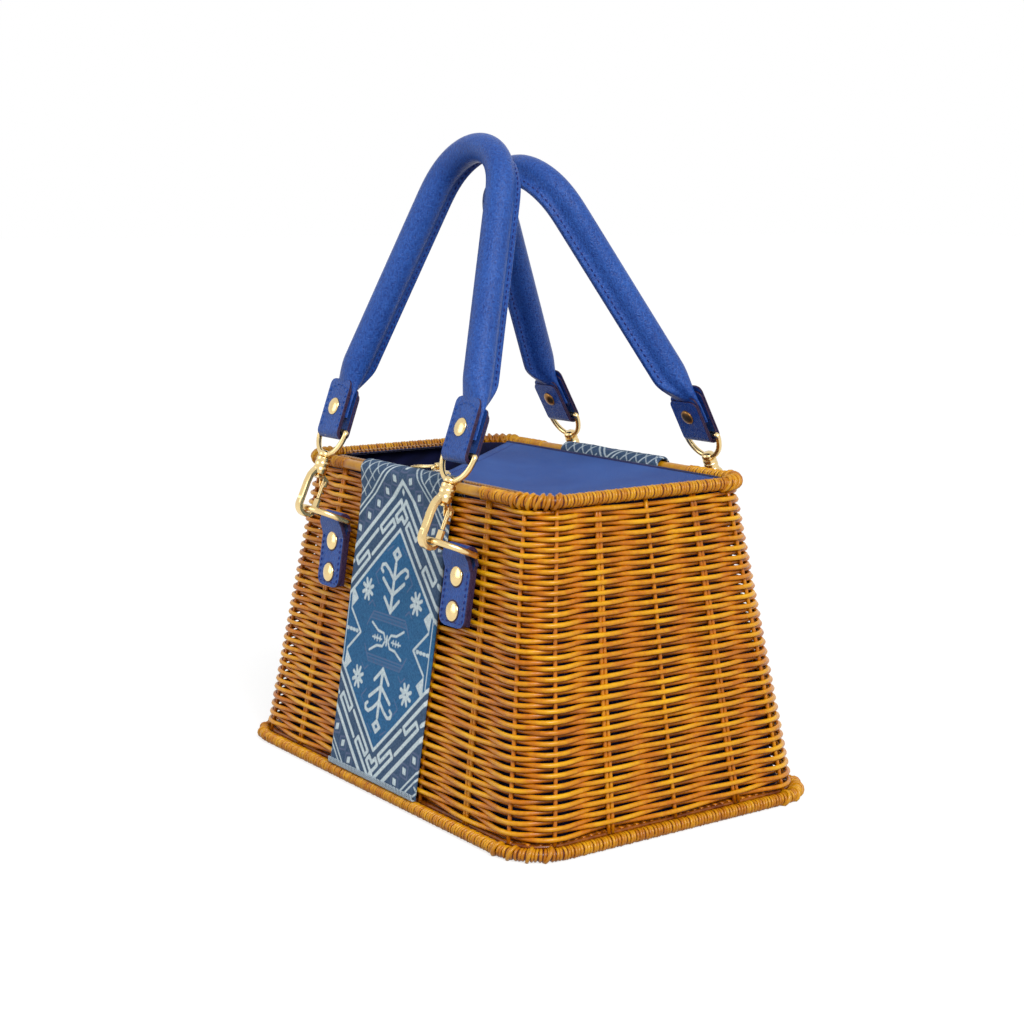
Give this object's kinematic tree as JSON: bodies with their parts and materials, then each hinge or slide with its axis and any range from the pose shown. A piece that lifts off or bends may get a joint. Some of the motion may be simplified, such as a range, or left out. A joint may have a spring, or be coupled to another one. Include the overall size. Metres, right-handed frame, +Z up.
{
  "type": "woven basket bag",
  "caption": "Tapered woven wicker basket bag with a lined interior, zipped cloth cover, brocade strips and leather handles clipped to ringed tabs by swivel snap hooks.",
  "frame": {"origin": "middle of the floor under the basket's bottom rim", "axes": "+Z up, +X along the basket's length, -Y towards the front strip"},
  "size_m": [0.271, 0.1902, 0.3203],
  "materials": {
    "wicker": "glossy varnished round rods",
    "rim_cane": "glossy varnished cane wrap",
    "blue_leather": "cross-grained blue faux leather",
    "cover_cloth": "plain woven blue cloth",
    "lining_cloth": "dark navy cloth",
    "brocade": "blue and white woven brocade",
    "gold_metal": "polished pale gold plate"
  },
  "bodies": {
    "basket": {"woven_wall": "wicker", "base_mat": "wicker", "bottom_rim": "rim_cane", "top_rim": "rim_cane", "lining": "lining_cloth", "top_cover": "cover_cloth", "zip_tape": "lining_cloth", "front_strip": "brocade", "back_strip": "brocade", "front_left_tab": "blue_leather", "front_right_tab": "blue_leather", "back_left_tab": "blue_leather", "back_right_tab": "blue_leather", "tab_rivets": "gold_metal"},
    "front_left_ring": {"front_left_ring": "gold_metal"},
    "front_left_eye": {"front_left_eye": "gold_metal"},
    "front_left_hook": {"front_left_hook": "gold_metal", "front_left_gate_pin": "gold_metal"},
    "front_left_gate": {"front_left_gate": "gold_metal"},
    "front_right_ring": {"front_right_ring": "gold_metal"},
    "front_right_eye": {"front_right_eye": "gold_metal"},
    "front_right_hook": {"front_right_hook": "gold_metal", "front_right_gate_pin": "gold_metal"},
    "front_right_gate": {"front_right_gate": "gold_metal"},
    "front_handle": {"front_handle_roll": "blue_leather", "front_handle_left_end": "blue_leather", "front_handle_right_end": "blue_leather", "front_handle_rivets": "gold_metal"},
    "back_left_ring": {"back_left_ring": "gold_metal"},
    "back_left_eye": {"back_left_eye": "gold_metal"},
    "back_left_hook": {"back_left_hook": "gold_metal", "back_left_gate_pin": "gold_metal"},
    "back_left_gate": {"back_left_gate": "gold_metal"},
    "back_right_ring": {"back_right_ring": "gold_metal"},
    "back_right_eye": {"back_right_eye": "gold_metal"},
    "back_right_hook": {"back_right_hook": "gold_metal", "back_right_gate_pin": "gold_metal"},
    "back_right_gate": {"back_right_gate": "gold_metal"},
    "back_handle": {"back_handle_roll": "blue_leather", "back_handle_left_end": "blue_leather", "back_handle_right_end": "blue_leather", "back_handle_rivets": "gold_metal"},
    "zip_slider": {"zip_slider": "gold_metal"},
    "zip_pull": {"zip_pull": "gold_metal"}
  },
  "joints": [
    {"name": "front_left_ring_swing", "type": "hinge", "parent": "basket", "child": "front_left_ring", "pos_m": [-0.058, -0.07268, 0.12918], "axis": [1, 0, 0], "range_deg": [0, 70]},
    {"name": "front_left_hook_swing", "type": "hinge", "parent": "front_left_ring", "child": "front_left_eye", "pos_m": [-0.058, -0.08958, 0.1367], "axis": [1, 0, 0], "range_deg": [0, 35]},
    {"name": "front_left_hook_swivel", "type": "hinge", "parent": "front_left_eye", "child": "front_left_hook", "pos_m": [-0.058, -0.08958, 0.1367], "axis": [0, 0.4067, 0.9135], "range_deg": [-20, 20]},
    {"name": "front_left_gate_open", "type": "hinge", "parent": "front_left_hook", "child": "front_left_gate", "pos_m": [-0.058, -0.07939, 0.14803], "axis": [-1, 0, 0], "range_deg": [0, 30], "stiffness_Nm_per_rad": 0.004, "springref_deg": -11.46},
    {"name": "front_right_ring_swing", "type": "hinge", "parent": "basket", "child": "front_right_ring", "pos_m": [0.058, -0.07268, 0.12918], "axis": [1, 0, 0], "range_deg": [0, 70]},
    {"name": "front_right_hook_swing", "type": "hinge", "parent": "front_right_ring", "child": "front_right_eye", "pos_m": [0.058, -0.08958, 0.1367], "axis": [1, 0, 0], "range_deg": [0, 35]},
    {"name": "front_right_hook_swivel", "type": "hinge", "parent": "front_right_eye", "child": "front_right_hook", "pos_m": [0.058, -0.08958, 0.1367], "axis": [0, 0.4067, 0.9135], "range_deg": [-20, 20]},
    {"name": "front_right_gate_open", "type": "hinge", "parent": "front_right_hook", "child": "front_right_gate", "pos_m": [0.058, -0.07939, 0.14803], "axis": [-1, 0, 0], "range_deg": [0, 30], "stiffness_Nm_per_rad": 0.004, "springref_deg": -11.46},
    {"name": "front_handle_swing", "type": "hinge", "parent": "front_left_eye", "child": "front_handle", "pos_m": [0, -0.07282, 0.17434], "axis": [1, 0, 0], "range_deg": [0, 35]},
    {"name": "back_left_ring_swing", "type": "hinge", "parent": "basket", "child": "back_left_ring", "pos_m": [-0.058, 0.07268, 0.12918], "axis": [-1, 0, 0], "range_deg": [0, 70]},
    {"name": "back_left_hook_swing", "type": "hinge", "parent": "back_left_ring", "child": "back_left_eye", "pos_m": [-0.058, 0.08958, 0.1367], "axis": [-1, 0, 0], "range_deg": [0, 35]},
    {"name": "back_left_hook_swivel", "type": "hinge", "parent": "back_left_eye", "child": "back_left_hook", "pos_m": [-0.058, 0.08958, 0.1367], "axis": [0, -0.4067, 0.9135], "range_deg": [-20, 20]},
    {"name": "back_left_gate_open", "type": "hinge", "parent": "back_left_hook", "child": "back_left_gate", "pos_m": [-0.058, 0.07939, 0.14803], "axis": [1, 0, 0], "range_deg": [0, 30], "stiffness_Nm_per_rad": 0.004, "springref_deg": -11.46},
    {"name": "back_right_ring_swing", "type": "hinge", "parent": "basket", "child": "back_right_ring", "pos_m": [0.058, 0.07268, 0.12918], "axis": [-1, 0, 0], "range_deg": [0, 70]},
    {"name": "back_right_hook_swing", "type": "hinge", "parent": "back_right_ring", "child": "back_right_eye", "pos_m": [0.058, 0.08958, 0.1367], "axis": [-1, 0, 0], "range_deg": [0, 35]},
    {"name": "back_right_hook_swivel", "type": "hinge", "parent": "back_right_eye", "child": "back_right_hook", "pos_m": [0.058, 0.08958, 0.1367], "axis": [0, -0.4067, 0.9135], "range_deg": [-20, 20]},
    {"name": "back_right_gate_open", "type": "hinge", "parent": "back_right_hook", "child": "back_right_gate", "pos_m": [0.058, 0.07939, 0.14803], "axis": [1, 0, 0], "range_deg": [0, 30], "stiffness_Nm_per_rad": 0.004, "springref_deg": -11.46},
    {"name": "back_handle_swing", "type": "hinge", "parent": "back_left_eye", "child": "back_handle", "pos_m": [0, 0.07282, 0.17434], "axis": [-1, 0, 0], "range_deg": [0, 35]},
    {"name": "zip_slide", "type": "slide", "parent": "basket", "child": "zip_slider", "axis": [1, 0, 0], "range_m": [-0.08, 0.065]},
    {"name": "zip_pull_flip", "type": "hinge", "parent": "zip_slider", "child": "zip_pull", "pos_m": [0.01, -0.0536, 0.16235], "axis": [0, 1, 0], "range_deg": [0, 160]}
  ],
  "couplings": [
    {"joint": "front_right_ring_swing", "follows": "front_left_ring_swing", "ratio": 1},
    {"joint": "front_right_hook_swing", "follows": "front_left_hook_swing", "ratio": 1},
    {"joint": "back_right_ring_swing", "follows": "back_left_ring_swing", "ratio": 1},
    {"joint": "back_right_hook_swing", "follows": "back_left_hook_swing", "ratio": 1}
  ]
}
